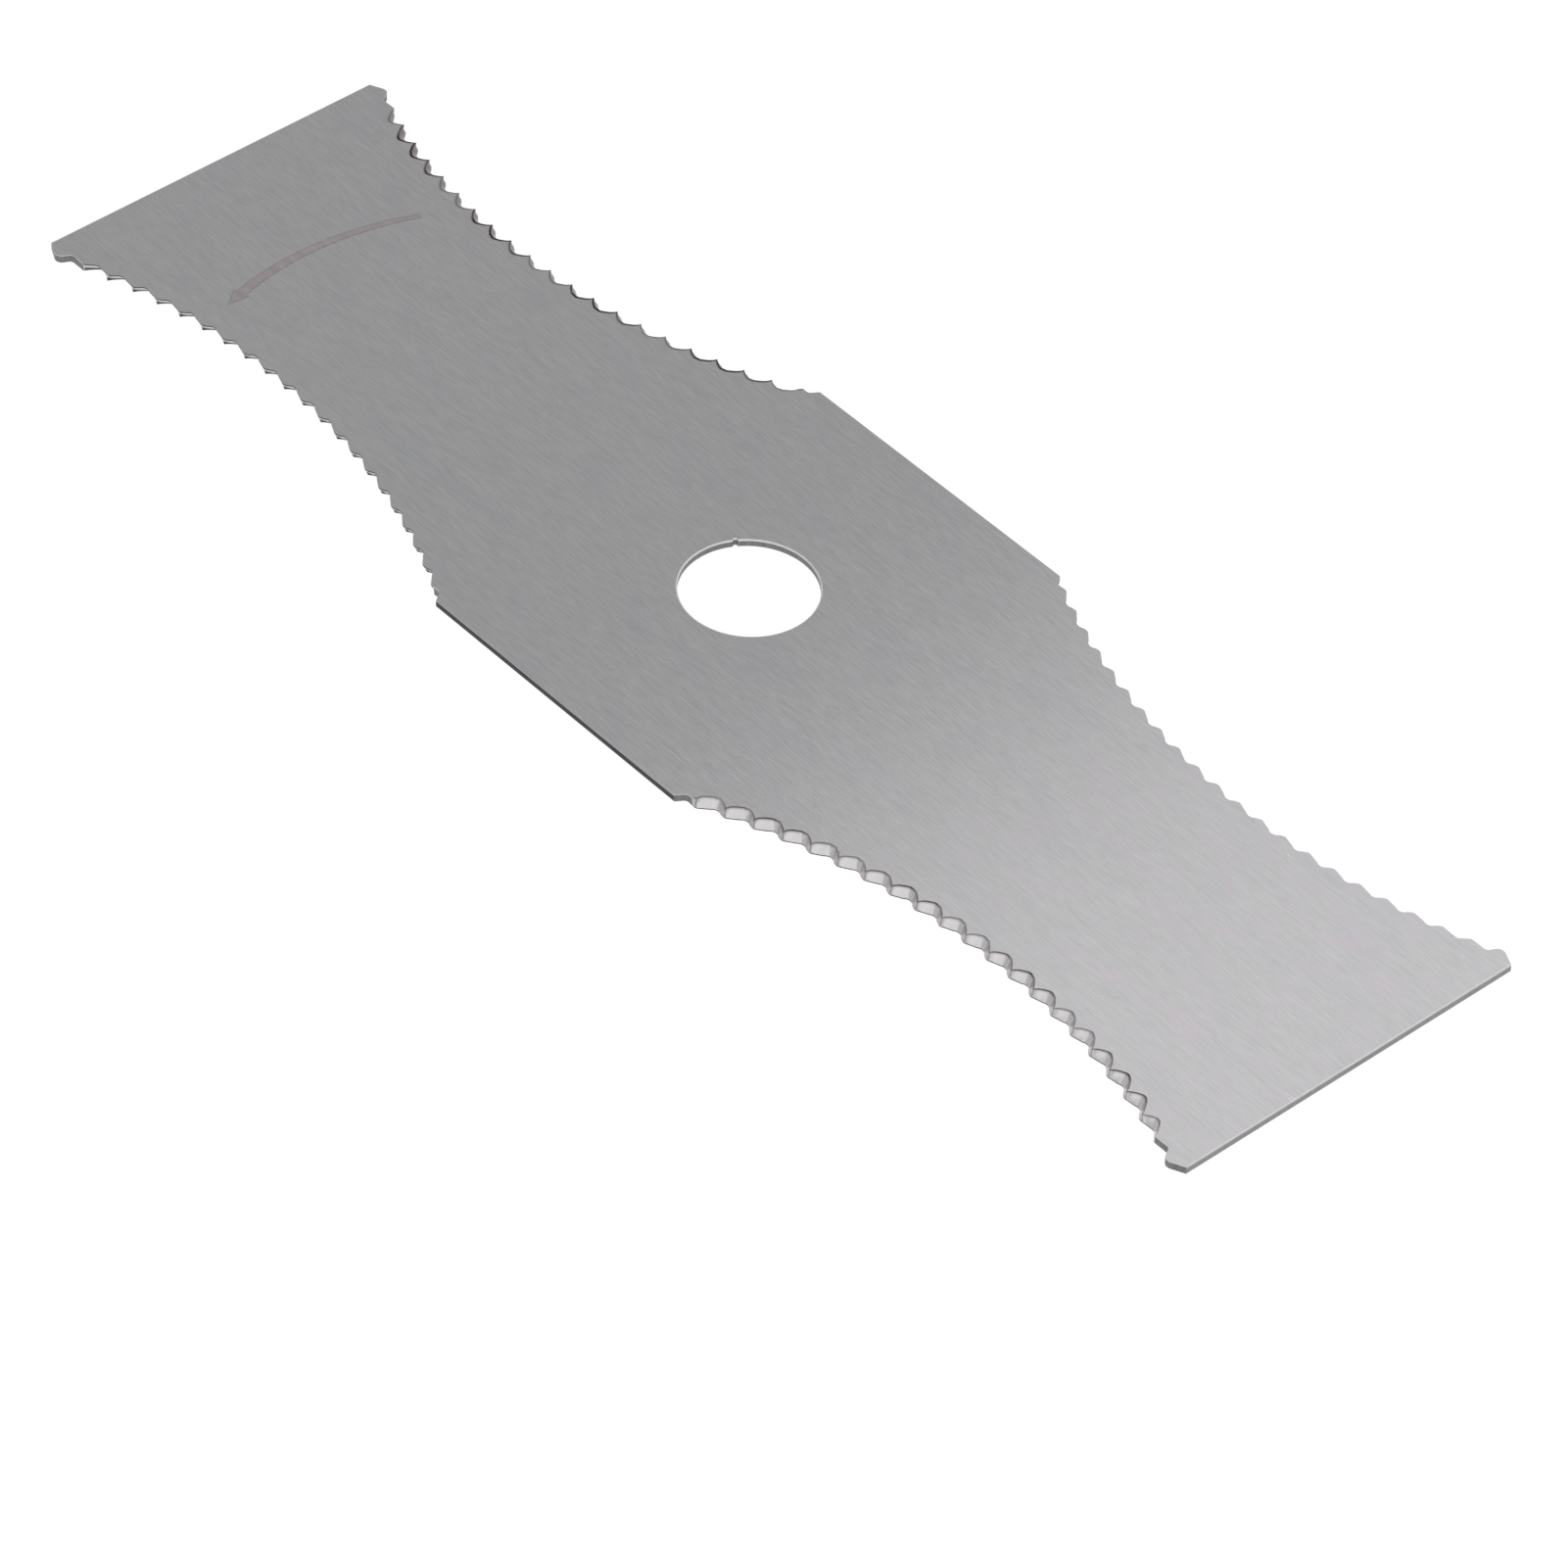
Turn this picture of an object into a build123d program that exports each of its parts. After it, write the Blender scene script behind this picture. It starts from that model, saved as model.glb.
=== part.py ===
from build123d import *
from math import asin, atan, cos, hypot, radians, sin, sqrt, tan
import os

# Two-winged grass trimmer blade, cut from flat steel sheet.
# The bore is on Z, the wings lie along X and the underside is at Z = 0.
# Seen from above it turns anticlockwise. Sizes are in millimetres and degrees.

# Sheet and bore
BLADE_LENGTH = 304.8      # tip to tip, 12 inches
HUB_WIDTH = 90.0          # across the straight hub edges, nominally 3.5 inches
THICKNESS = 1.6
BORE_DIAMETER = 25.4
EDGE_BREAK = 0.25         # deburred edges of the hub, the ends and the bore
NICK_RADIUS = 0.45        # small nick in the bore wall where the cut began
NICK_ANGLE = 150.0

# Outline of one toothed edge
HUB_FLAT = 64.0           # length of each straight hub edge
HUB_STEP = 0.7            # the tooth line starts this far inside the hub edge
WAIST_DEPTH = 16.2        # dips this far inside it at the waist
END_STEP = 5.7            # and comes back to this far inside it at the blade's end
CORNER_DROP = 1.8         # slope from the last tooth down to the straight end

# Teeth along that edge
TOOTH_PITCH = 5.56
TOOTH_HEIGHT = 1.18       # root to crest before rounding
TOOTH_ROUND = 1.0
VALLEY_LEAD = 2.15        # a valley lies this far on the hub side of its tip
FIRST_TIP = 3.6           # least distance from the hub corner to the first tip
LAST_TIP = 3.6            # from the last tip to the blade's end
LAST_TIP_RISE = 0.9       # the last tip is a taller, rounder corner
LAST_TIP_ROUND = 1.4

# Ground bevels: each valley has a leaning V-shaped groove, down to a sharp edge on the far face
GRIND_LEAN = 40.0         # lean of a groove from upright, into the blade
GRIND_SKEW = 14.0         # and towards the hub
GRIND_HUB_SIDE = 30.0     # angle to the tooth line of the side nearer the hub, in the first groove
GRIND_HUB_SIDE_LAST = 46.0    # and in the last one
GRIND_END_SIDE = 45.0     # angle of the other side
GRIND_ROUND = 1.4         # rounding of a groove's root
GRIND_LEAD = 2.2          # on the sharp face the root is this far on the hub side of its tip
GRIND_BITE = 0.08         # and this far inside the cut valley
GRIND_FADE = 0.4          # the last groove of a row is this much shallower

# The tooth line is a circle that starts under the hub corner and ends over the end corner
# of one wing, with the waist as its point nearest to the X axis.
hub_x, hub_y = HUB_FLAT / 2, HUB_WIDTH / 2
end_x, end_y = BLADE_LENGTH / 2, HUB_WIDTH / 2 - END_STEP
hub_rise, end_rise = WAIST_DEPTH - HUB_STEP, WAIST_DEPTH - END_STEP
span = end_x - hub_x
quad_a = end_rise - hub_rise
quad_b = 2 * hub_rise * span
quad_c = -hub_rise * (span**2 + end_rise * quad_a)
waist_from_hub = -2 * quad_c / (quad_b + sqrt(quad_b**2 - 4 * quad_a * quad_c))
line_radius = (waist_from_hub**2 + hub_rise**2) / (2 * hub_rise)
line_x = hub_x + waist_from_hub
line_y = hub_y - WAIST_DEPTH + line_radius
start_angle = asin((hub_x - line_x) / line_radius)
line_length = line_radius * (asin((end_x - line_x) / line_radius) - start_angle)

# Tips are stepped back from the blade's end. Each tip has its valley on the hub side.
tooth_count = int((line_length - LAST_TIP - FIRST_TIP) / TOOTH_PITCH) + 1
tips = [line_length - LAST_TIP - TOOTH_PITCH * k for k in reversed(range(tooth_count))]

# Rounding lifts a valley's root and lowers a crest by the same amount.
half_turn = (atan(TOOTH_HEIGHT / VALLEY_LEAD) + atan(TOOTH_HEIGHT / (TOOTH_PITCH - VALLEY_LEAD))) / 2
flank_room = hypot(VALLEY_LEAD, TOOTH_HEIGHT) / (2 * tan(half_turn))
tooth_round = min(TOOTH_ROUND, 0.95 * flank_room)
root_depth = TOOTH_HEIGHT / 2 - tooth_round * (1 / cos(half_turn) - 1)


def line_angle(distance):
    """Angle on the tooth-line circle at a distance along it from the hub corner."""
    return start_angle + distance / line_radius


def on_line(distance, out):
    """Point at a distance along the tooth line, moved outwards from the blade by `out`."""
    angle, reach = line_angle(distance), line_radius - out
    return Vector(line_x + reach * sin(angle), line_y - reach * cos(angle), 0)


def toothed_edge():
    """Wavy edge of the +X +Y quarter, from the hub corner out to the blade's end."""
    points = [Vector(hub_x, hub_y, 0)]
    rounds = []
    for tip in tips:
        rise, tip_round = (LAST_TIP_RISE, LAST_TIP_ROUND) if tip == tips[-1] else (0, tooth_round)
        points.append(on_line(tip - VALLEY_LEAD, -TOOTH_HEIGHT / 2))
        points.append(on_line(tip, TOOTH_HEIGHT / 2 + rise))
        rounds += [tooth_round, tip_round]
    points.append(Vector(end_x, end_y - CORNER_DROP, 0))
    return FilletPolyline(*points, radius=rounds)


def outline():
    """Flat shape of the blade: four toothed edges, two hub edges and two ends."""
    edge = toothed_edge()
    edges = [edge, mirror(edge, Plane.XZ), mirror(edge, Plane.YZ)]
    edges.append(mirror(edges[1], Plane.YZ))
    corner_y = end_y - CORNER_DROP
    for side in (-1, 1):
        edges.append(Line((-hub_x, side * hub_y), (hub_x, side * hub_y)))
        edges.append(Line((side * end_x, -corner_y), (side * end_x, corner_y)))
    return make_face([piece for part in edges for piece in part.edges()])


def straight_edges(sheet):
    """Level edges of the hub and the ends: the ones whose middle is over the X or Y axis."""
    level = sheet.edges().filter_by(GeomType.LINE).filter_by(Axis.Z, reverse=True)
    return [edge for edge in level if abs(edge.center().X * edge.center().Y) < 1e-6]


def bore_cut():
    """Bore with both rims broken, and the nick beside it, as one tool."""
    radius = BORE_DIAMETER / 2
    wide = radius + EDGE_BREAK
    profile = Polyline(
        (0, 0), (wide, 0), (radius, EDGE_BREAK), (radius, THICKNESS - EDGE_BREAK),
        (wide, THICKNESS), (0, THICKNESS), close=True,
    )
    hole = revolve(Plane.XZ * make_face(profile), Axis.Z)
    angle = radians(NICK_ANGLE)
    spot = Pos(radius * cos(angle), radius * sin(angle), THICKNESS / 2)
    return hole + spot * Cylinder(NICK_RADIUS, THICKNESS)


def groove_tool(distance, hub_side, shallow):
    """Tool for one groove of the +X +Y edge, which leaves its sharp edge on the top face.

    It is a V with a round root, drawn on that face and carried down, inwards and hubwards. It
    starts one thickness above the sheet and ends one below.
    """
    heading = line_angle(distance)
    along, outward = Vector(cos(heading), sin(heading), 0), Vector(-sin(heading), cos(heading), 0)
    root = on_line(distance, shallow - root_depth - GRIND_BITE) + Vector(0, 0, THICKNESS)
    centre = root + outward * GRIND_ROUND
    past_tips = 2 * TOOTH_PITCH
    sides = []
    for way, angle in ((-1, radians(hub_side)), (1, radians(GRIND_END_SIDE))):
        touch = centre + (along * way * sin(angle) - outward * cos(angle)) * GRIND_ROUND
        far = touch + (along * way * cos(angle) + outward * sin(angle)) * past_tips
        sides.append((touch, far))
    (hub_touch, hub_far), (end_touch, end_far) = sides
    round_root = ThreePointArc(hub_touch, root, end_touch)
    profile = make_face([round_root, Polyline(end_touch, end_far, hub_far, hub_touch)])
    travel = Vector(0, 0, -1) - outward * tan(radians(GRIND_LEAN)) - along * tan(radians(GRIND_SKEW))
    start = Pos(travel * -THICKNESS) * profile
    return extrude(start, 3 * THICKNESS * travel.length, travel.normalized())


def grind_row():
    """All grooves of one edge. The valleys at the hub and at the end stay upright."""
    ground = tips[1:-1]
    row = []
    for tip in ground:
        share = (tip - ground[0]) / (ground[-1] - ground[0])
        hub_side = GRIND_HUB_SIDE + share * (GRIND_HUB_SIDE_LAST - GRIND_HUB_SIDE)
        row.append(groove_tool(tip - GRIND_LEAD, hub_side, GRIND_FADE if tip == ground[-1] else 0))
    return row


def blade():
    """The sheet with its bore, ground on the underside of each leading edge and on top behind it."""
    sheet = extrude(outline(), THICKNESS)
    sheet = chamfer(straight_edges(sheet), EDGE_BREAK) - bore_cut()
    middle = Pos(0, 0, THICKNESS / 2)
    row = grind_row()
    for turn in (Rot(0, 0, 0), Rot(0, 0, 180), Rot(180, 0, 0), Rot(0, 180, 0)):
        sheet -= [middle * turn * middle.inverse() * groove for groove in row]
    return sheet


os.makedirs("parts", exist_ok=True)
export_step(blade(), "parts/blade.step")
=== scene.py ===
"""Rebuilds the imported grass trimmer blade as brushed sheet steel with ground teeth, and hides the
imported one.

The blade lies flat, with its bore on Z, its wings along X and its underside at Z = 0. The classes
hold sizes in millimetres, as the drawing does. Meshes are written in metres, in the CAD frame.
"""
import logging
from dataclasses import dataclass, field
from enum import Enum, IntEnum

import bpy
import numpy as np
from mathutils import Matrix, Vector
from mathutils.geometry import delaunay_2d_cdt


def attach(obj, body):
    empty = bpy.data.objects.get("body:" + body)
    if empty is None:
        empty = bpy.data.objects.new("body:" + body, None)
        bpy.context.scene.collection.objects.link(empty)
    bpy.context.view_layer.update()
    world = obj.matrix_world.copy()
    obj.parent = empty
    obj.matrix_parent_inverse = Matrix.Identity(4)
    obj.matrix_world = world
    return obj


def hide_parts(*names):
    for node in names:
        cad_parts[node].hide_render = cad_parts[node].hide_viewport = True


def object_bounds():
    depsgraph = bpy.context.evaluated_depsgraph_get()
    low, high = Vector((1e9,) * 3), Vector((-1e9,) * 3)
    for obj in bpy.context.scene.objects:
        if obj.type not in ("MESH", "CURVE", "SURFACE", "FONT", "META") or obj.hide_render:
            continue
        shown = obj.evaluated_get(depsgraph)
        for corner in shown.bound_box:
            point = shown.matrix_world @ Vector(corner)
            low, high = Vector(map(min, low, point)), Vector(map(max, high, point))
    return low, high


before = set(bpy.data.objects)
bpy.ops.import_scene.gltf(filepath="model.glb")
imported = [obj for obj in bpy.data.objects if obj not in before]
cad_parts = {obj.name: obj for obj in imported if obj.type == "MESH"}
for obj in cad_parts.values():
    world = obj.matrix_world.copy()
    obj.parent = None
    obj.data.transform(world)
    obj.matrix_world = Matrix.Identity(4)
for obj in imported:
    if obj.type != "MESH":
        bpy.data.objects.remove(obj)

LOG = logging.getLogger("trimmer_blade")
MM = 0.001
PHOTO_PIXELS = 1601
CAD_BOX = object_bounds()
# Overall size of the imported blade, in millimetres.
LENGTH, WIDTH, THICKNESS = ((np.array(CAD_BOX[1]) - np.array(CAD_BOX[0])) / MM).round(3)
LOW_NOISE, HIGH_NOISE = 0.3, 0.7    # most of a noise's values lie between these
UV_SCALE = 0.01                     # only the direction of the UV map counts
Curve = tuple[tuple[float, ...], tuple[float, ...]]

# A section across the blade's edge has this many points, from one face to the other.
ROWS = 14
# The strips between them, by number.
FACE_STRIPS = [0, 1, 11, 12]        # on the two faces
EDGE_STRIPS = slice(2, 11)          # between the faces
FIRST_ROUND = slice(2, 5)           # most of the broken edge beside the first face
LAST_ROUND = slice(8, 11)           # most of the one beside the last face
WALL_STRIP = 6                      # upright, between the two broken edges
LAND_STRIP = 2                      # upright land of a ground section
BEVEL_STRIPS = slice(3, 11)         # bevel beside that land


class Surface(IntEnum):
    """Material slots of the blade's mesh, in order. The cut steel slots are one steel, in tones that paint
    the light and shade on its walls and a highlight on its rounded edges.
    """

    SHEET = 0
    CUT = 1
    SHEARED = 2
    TOOTH = 3
    GROUND = 4
    BURNISHED = 5


class Turn(Enum):
    """Half turns that carry the +X +Y edge to the other three, as signs of X, Y and Z."""

    NONE = (1, 1, 1)
    ABOUT_Z = (-1, -1, 1)
    ABOUT_X = (1, -1, -1)
    ABOUT_Y = (-1, 1, -1)

    @property
    def upside_down(self) -> bool:
        """Whether this turn lays the ground side upwards."""
        return self.value[2] < 0


def linear(code: str) -> tuple[float, float, float, float]:
    """Turns an sRGB hex colour to linear RGBA.

    Args:
        code: Six hex digits with a leading hash.

    Returns:
        Linear red, green and blue, with an alpha of one.
    """
    srgb = np.array([int(code[i:i + 2], 16) for i in (1, 3, 5)]) / 255
    rgb = np.where(srgb <= 0.04045, srgb / 12.92, ((srgb + 0.055) / 1.055) ** 2.4)
    return (*rgb.tolist(), 1.0)


def add(
    tree: bpy.types.NodeTree,
    kind: str,
    inputs: dict[str | int, object] | None = None,
    stops: tuple[tuple[float, str], ...] = (),
    **settings: object,
) -> bpy.types.Node:
    """Adds one node, with its settings, its values and its links.

    Args:
        tree: Node tree that the node goes into.
        kind: Node type, without the leading ShaderNode.
        inputs: Value or output socket for each input, by its name or number.
        stops: Place and hex colour of each stop, for a node with a colour ramp.
        settings: Attributes of the node itself.

    Returns:
        The new node.
    """
    node = tree.nodes.new("ShaderNode" + kind)
    for name, value in settings.items():
        setattr(node, name, value)
    for i, (place, code) in enumerate(stops):
        stop = node.color_ramp.elements[i] if i < 2 else node.color_ramp.elements.new(place)
        stop.position, stop.color = place, linear(code)
    for name, value in (inputs or {}).items():
        if isinstance(value, bpy.types.NodeSocket):
            tree.links.new(value, node.inputs[name])
        else:
            node.inputs[name].default_value = value
    return node


def new_material(name: str) -> tuple[bpy.types.Material, bpy.types.NodeTree, bpy.types.NodeSocket]:
    """Starts a node material.

    Args:
        name: What the real material is.

    Returns:
        The material, its empty node tree and the surface socket of its output.
    """
    material = bpy.data.materials.new(name)
    material.use_nodes = True
    tree = material.node_tree
    tree.nodes.clear()
    return material, tree, add(tree, "OutputMaterial").inputs["Surface"]


def cells(
    tree: bpy.types.NodeTree, size: tuple[float, float, float], turn: float = 0.0, detail: float = 2.0
) -> bpy.types.NodeSocket:
    """Noise on Object coordinates whose cells have a real size, so that long ones read as strokes.

    Args:
        tree: Node tree.
        size: Size of a cell along X, Y and Z in millimetres.
        turn: Angle that the cells are turned by about Z, in degrees.
        detail: Finer octaves of the noise.

    Returns:
        A number about 0.5, from 0 to 1.
    """
    place = add(tree, "TexCoord").outputs["Object"]
    turned = add(tree, "Mapping", {"Vector": place, "Rotation": (0, 0, np.radians(turn))})
    scale = tuple(1 / (side * MM) for side in size)
    drawn = add(tree, "Mapping", {"Vector": turned.outputs[0], "Scale": scale})
    noise = {"Vector": drawn.outputs[0], "Scale": 1.0, "Detail": detail, "Roughness": 0.6}
    return add(tree, "TexNoise", noise).outputs[0]


@dataclass(frozen=True)
class Layer:
    """A colour that noise lays over a finish: none up to the first level, and the most past the second."""

    colour: str
    cell: tuple[float, float, float]    # size of the noise along X, Y and Z
    levels: tuple[float, float]
    most: float
    most_at_hub: float | None = None    # for a layer that grows from the hub towards the +X end
    turn: float = 0.0                   # of the cells about Z, in degrees
    detail: float = 2.0                 # finer octaves of the noise


@dataclass(frozen=True)
class BrushedSheet:
    """Cold-rolled spring steel sheet, brushed lengthways: an even grey satin that brightens to one end.

    The brushing spreads a lamp's mirror image across the grain, so the sheen lies over a whole wing.
    """

    dark: str = "#A6A6A8"
    light: str = "#B8B8B8"
    # Colour of scorched rims, and of the painted bevel shade where it reaches the face.
    scorch_and_shade: str = "#3A2A26"
    grain: tuple[float, float, float] = (3.6, 0.22, 0.22)   # coarser than grit, so that the view shows it
    spread: tuple[float, float] = (0.25, 0.75)              # noise that gives the dark and the light
    strokes: Layer = Layer("#C6C6C6", (8.0, 0.3, 0.3), (0.4, 0.7), 0.24)
    haze: Layer = Layer("#A6A8B2", (14.0, 6.0, 6.0), (0.5, 0.8), 0.3, turn=25.0)
    stains: Layer = Layer("#B8AFB6", (9.0, 4.0, 4.0), (0.45, 0.75), 0.7, most_at_hub=0.05)
    scratches: Layer = Layer("#DADADA", (5.0, 0.2, 0.2), (0.84, 0.9), 0.5, turn=4.0, detail=0.0)
    long_scratches: Layer = Layer("#DADADA", (8.0, 0.2, 0.2), (0.84, 0.9), 0.5, turn=-9.0, detail=0.0)
    wing: float = 120.0             # distance from the bore over which a layer grows
    roughness: tuple[float, float] = (0.25, 0.29)
    bump: float = 0.08
    groove: float = 0.03            # depth of the brushing
    anisotropy: float = 0.85

    def material(self) -> bpy.types.Material:
        """Grain under strokes, haze, stains and scratches, darkened by the attribute along scorched rims
        and where bevel shade is painted.

        Returns:
            The finished material.
        """
        material, tree, surface = new_material("brushed_spring_steel")
        grain = cells(tree, self.grain)
        stops = tuple(zip(self.spread, (self.dark, self.light)))
        colour = add(tree, "ValToRGB", {0: grain}, stops).outputs[0]
        along = add(tree, "SeparateXYZ", {0: add(tree, "TexCoord").outputs["Object"]}).outputs["X"]
        layers = []
        for layer in (self.strokes, self.haze, self.stains, self.scratches, self.long_scratches):
            most = layer.most
            if layer.most_at_hub is not None:
                most = add(tree, "MapRange", {
                    "Value": along, "From Max": self.wing * MM, "To Min": layer.most_at_hub,
                    "To Max": layer.most}).outputs[0]
            low, high = layer.levels
            share = add(tree, "MapRange", {
                "Value": cells(tree, layer.cell, layer.turn, layer.detail), "From Min": low,
                "From Max": high, "To Max": most})
            layers.append((share.outputs[0], layer.colour))
        # The attribute adds scorched rims and, at the edge, painted bevel shade.
        layers.append((add(tree, "Attribute", attribute_name="scorch_and_shade").outputs["Fac"], self.scorch_and_shade))
        for share, code in layers:
            colour = add(tree, "Mix", {0: share, 6: colour, 7: linear(code)}, data_type="RGBA").outputs[2]
        low, high = self.roughness
        rough = add(tree, "MapRange", {
            "Value": grain, "From Min": LOW_NOISE, "From Max": HIGH_NOISE, "To Min": low, "To Max": high})
        bump = add(tree, "Bump", {"Strength": self.bump, "Distance": self.groove * MM, "Height": grain})
        across = add(tree, "Tangent", direction_type="UV_MAP", uv_map="across_grain")
        shader = add(tree, "BsdfPrincipled", {
            "Base Color": colour, "Metallic": 1.0, "Roughness": rough.outputs[0],
            "Normal": bump.outputs[0], "Anisotropic": self.anisotropy, "Tangent": across.outputs[0]})
        tree.links.new(shader.outputs[0], surface)
        return material


@dataclass(frozen=True)
class CutEdge:
    """Edge of spring steel with fine upright lines, dark oxide as cut and painted shade on the hub walls;
    its paler copies paint light on the ends and teeth and a highlight on rounded edges.
    """

    name: str = "laser_cut_steel_edge"
    dark: str = "#2E2D2D"
    light: str = "#504F4E"
    lines: tuple[float, float, float] = (0.22, 0.22, 2.4)
    roughness: tuple[float, float] = (0.42, 0.6)
    spread: tuple[float, float] = (0.32, 0.7)       # noise that gives the dark and the light
    bump: float = 0.2
    groove: float = 0.04            # depth of the lines

    def material(self) -> bpy.types.Material:
        """Upright lines across the wall, in both colour and roughness.

        Returns:
            The finished material.
        """
        material, tree, surface = new_material(self.name)
        lines = cells(tree, self.lines)
        stops = tuple(zip(self.spread, (self.dark, self.light)))
        colour = add(tree, "ValToRGB", {0: lines}, stops)
        low, high = self.roughness
        rough = add(tree, "MapRange", {
            "Value": lines, "From Min": LOW_NOISE, "From Max": HIGH_NOISE, "To Min": low, "To Max": high})
        bump = add(tree, "Bump", {"Strength": self.bump, "Distance": self.groove * MM, "Height": lines})
        shader = add(tree, "BsdfPrincipled", {
            "Base Color": colour.outputs[0], "Metallic": 0.8, "Roughness": rough.outputs[0],
            "Normal": bump.outputs[0]})
        tree.links.new(shader.outputs[0], surface)
        return material


@dataclass(frozen=True)
class GroundBevel:
    """Steel ground to bright metal: pale flats with a hint of mauve, dark along scorched rims and where
    shade is painted on the bevels.
    """

    dark: str = "#C7C4C6"
    light: str = "#D3D0D2"
    # Colour of scorched rims and of the shade painted on the bevels.
    scorch_and_shade: str = "#4E4548"
    lines: tuple[float, float, float] = (0.3, 2.2, 2.2)
    roughness: tuple[float, float] = (0.28, 0.38)
    spread: tuple[float, float] = (0.3, 0.65)       # noise that gives the dark and the light

    def material(self) -> bpy.types.Material:
        """Bright metal with grinding lines, darker where the attribute marks scorched rims and painted
        shade.

        Returns:
            The finished material.
        """
        material, tree, surface = new_material("ground_bright_steel")
        lines = cells(tree, self.lines)
        stops = tuple(zip(self.spread, (self.dark, self.light)))
        colour = add(tree, "ValToRGB", {0: lines}, stops).outputs[0]
        # Scorched rims, and shade painted on the bevels' sides and lower parts.
        burnt_and_shaded = add(tree, "Attribute", attribute_name="scorch_and_shade").outputs["Fac"]
        colour = add(tree, "Mix", {0: burnt_and_shaded, 6: colour, 7: linear(self.scorch_and_shade)}, data_type="RGBA")
        low, high = self.roughness
        rough = add(tree, "MapRange", {
            "Value": lines, "From Min": LOW_NOISE, "From Max": HIGH_NOISE, "To Min": low, "To Max": high})
        shader = add(tree, "BsdfPrincipled", {
            "Base Color": colour.outputs[2], "Metallic": 1.0, "Roughness": rough.outputs[0]})
        tree.links.new(shader.outputs[0], surface)
        return material


@dataclass(frozen=True)
class EtchedMark:
    """Electro-etched steel: as grey as the sheet, but matt and faintly pink, with a darker outline."""

    dark: str = "#A29B9D"
    light: str = "#B3ABAF"
    line: str = "#90868A"
    mottle: tuple[float, float, float] = (5.0, 1.6, 1.6)
    roughness: tuple[float, float] = (0.38, 0.46)

    def material(self) -> bpy.types.Material:
        """Matt metal, darker where the attribute marks the outline.

        Returns:
            The finished material.
        """
        material, tree, surface = new_material("etched_steel")
        mottle = cells(tree, self.mottle)
        stops = ((LOW_NOISE, self.dark), (HIGH_NOISE, self.light))
        colour = add(tree, "ValToRGB", {0: mottle}, stops).outputs[0]
        edge = add(tree, "Attribute", attribute_name="outline").outputs["Fac"]
        colour = add(tree, "Mix", {0: edge, 6: colour, 7: linear(self.line)}, data_type="RGBA")
        low, high = self.roughness
        rough = add(tree, "MapRange", {
            "Value": mottle, "From Min": LOW_NOISE, "From Max": HIGH_NOISE, "To Min": low, "To Max": high})
        shader = add(tree, "BsdfPrincipled", {
            "Base Color": colour.outputs[2], "Metallic": 1.0, "Roughness": rough.outputs[0]})
        tree.links.new(shader.outputs[0], surface)
        return material


@dataclass(frozen=True)
class PaleFloor:
    """Matt white studio sweep: shows white to the eye and in metal, and keeps a faint shadow."""

    paint: str = "#F2F2F2"
    white_share: float = 0.96
    glow: float = 1.02

    def material(self) -> bpy.types.Material:
        """White paint, mostly replaced by plain white for camera, glossy and transmission rays.

        Returns:
            The finished material.
        """
        material, tree, surface = new_material("matt_white_sweep")
        path = add(tree, "LightPath").outputs
        seen = path["Is Camera Ray"]
        for ray in ("Is Glossy Ray", "Is Transmission Ray"):
            seen = add(tree, "Math", {0: seen, 1: path[ray]}, operation="MAXIMUM").outputs[0]
        share = add(tree, "Math", {0: seen, 1: self.white_share}, operation="MULTIPLY")
        matt = add(tree, "BsdfDiffuse", {"Color": linear(self.paint)})
        white = add(tree, "Emission", {"Color": (1, 1, 1, 1), "Strength": self.glow})
        both = add(tree, "MixShader", {0: share.outputs[0], 1: matt.outputs[0], 2: white.outputs[0]})
        tree.links.new(both.outputs[0], surface)
        return material


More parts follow.
